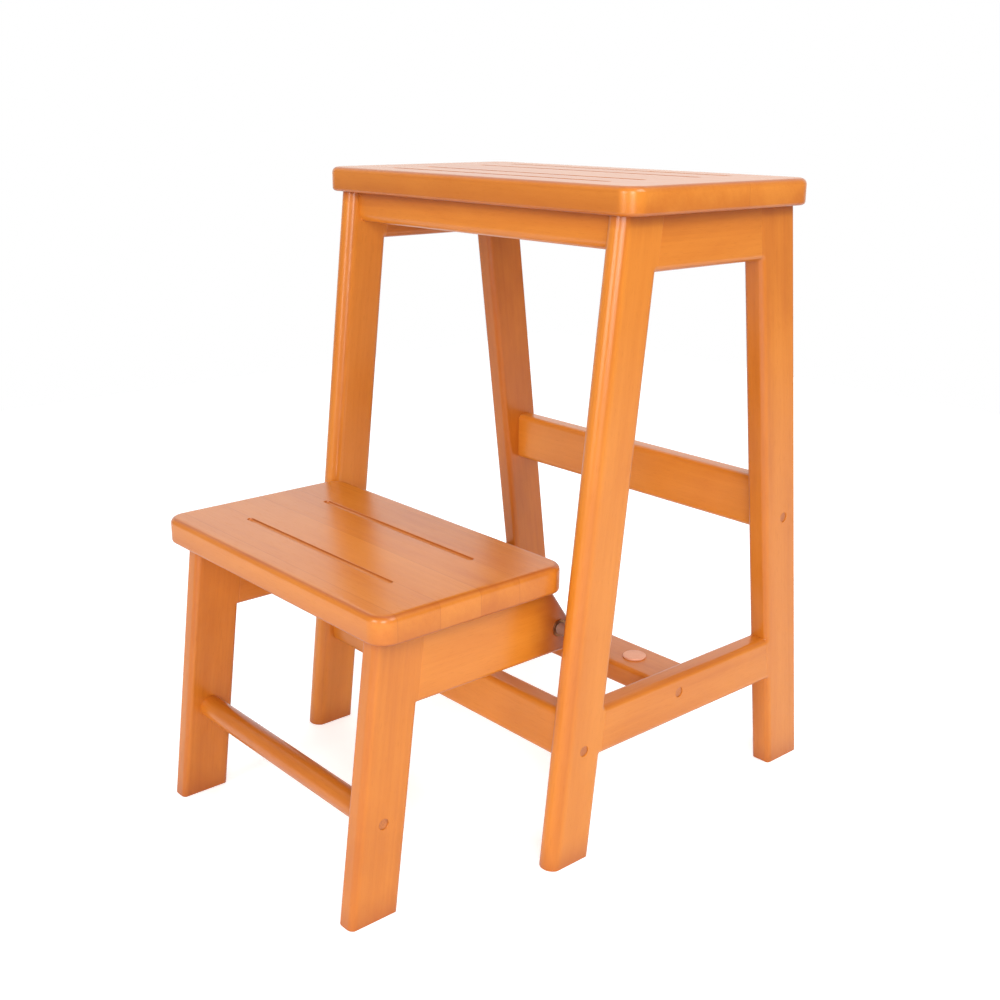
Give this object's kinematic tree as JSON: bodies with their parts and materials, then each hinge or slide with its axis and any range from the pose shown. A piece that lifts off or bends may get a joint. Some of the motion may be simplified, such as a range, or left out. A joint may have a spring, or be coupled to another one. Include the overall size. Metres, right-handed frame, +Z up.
{
  "type": "step ladder",
  "caption": "Folding wooden step ladder: a splay-legged stool frame with a grooved standing board and a lower step that swings up and over to stow inside the frame.",
  "frame": {"origin": "on the floor at the middle of the footprint with the step opened out", "axes": "+Z up, +X to the ladder's right as seen by someone about to climb it, the fold-out step towards -Y"},
  "size_m": [0.358, 0.4562, 0.5],
  "materials": {
    "lacquered_wood": "satin-gloss honey-orange lacquer over close-grained hardwood",
    "plug": "lacquered wood plug",
    "dowel": "plain fluted beech dowel",
    "pad": "soft matt bumper, tinted to match the wood",
    "screw_steel": "zinc plated",
    "pivot_steel": "nickel plated",
    "insert_steel": "zinc plated",
    "spacer_plastic": "tan nylon",
    "bushing_brass": "turned brass"
  },
  "bodies": {
    "stool_frame": {"top_board": "lacquered_wood", "left_front_leg": "lacquered_wood", "left_rear_leg": "lacquered_wood", "left_top_rail": "lacquered_wood", "left_lower_rail": "lacquered_wood", "right_front_leg": "lacquered_wood", "right_rear_leg": "lacquered_wood", "right_top_rail": "lacquered_wood", "right_lower_rail": "lacquered_wood", "front_apron": "lacquered_wood", "rear_apron": "lacquered_wood", "front_stretcher": "lacquered_wood", "rear_stretcher": "lacquered_wood", "pad_stretcher": "lacquered_wood", "rest_pads": "pad", "rail_dowels": "dowel", "cross_dowels": "dowel", "stretcher_screws": "screw_steel", "frame_plugs": "plug", "top_board_screws": "screw_steel", "pivot_bolts": "pivot_steel", "pivot_inserts": "insert_steel", "pivot_spacers": "spacer_plastic", "pivot_washers": "pivot_steel"},
    "fold_step": {"step_tread": "lacquered_wood", "left_step_leg": "lacquered_wood", "right_step_leg": "lacquered_wood", "left_step_rail": "lacquered_wood", "right_step_rail": "lacquered_wood", "step_rung": "lacquered_wood", "step_dowels": "dowel", "rung_screws": "screw_steel", "step_plugs": "plug", "tread_screws": "screw_steel", "pivot_bushings": "bushing_brass"}
  },
  "joints": [
    {"name": "step_fold", "type": "hinge", "parent": "stool_frame", "child": "fold_step", "pos_m": [0, -0.03319, 0.17665], "axis": [-1, 0, 0], "range_deg": [0, 180]}
  ]
}
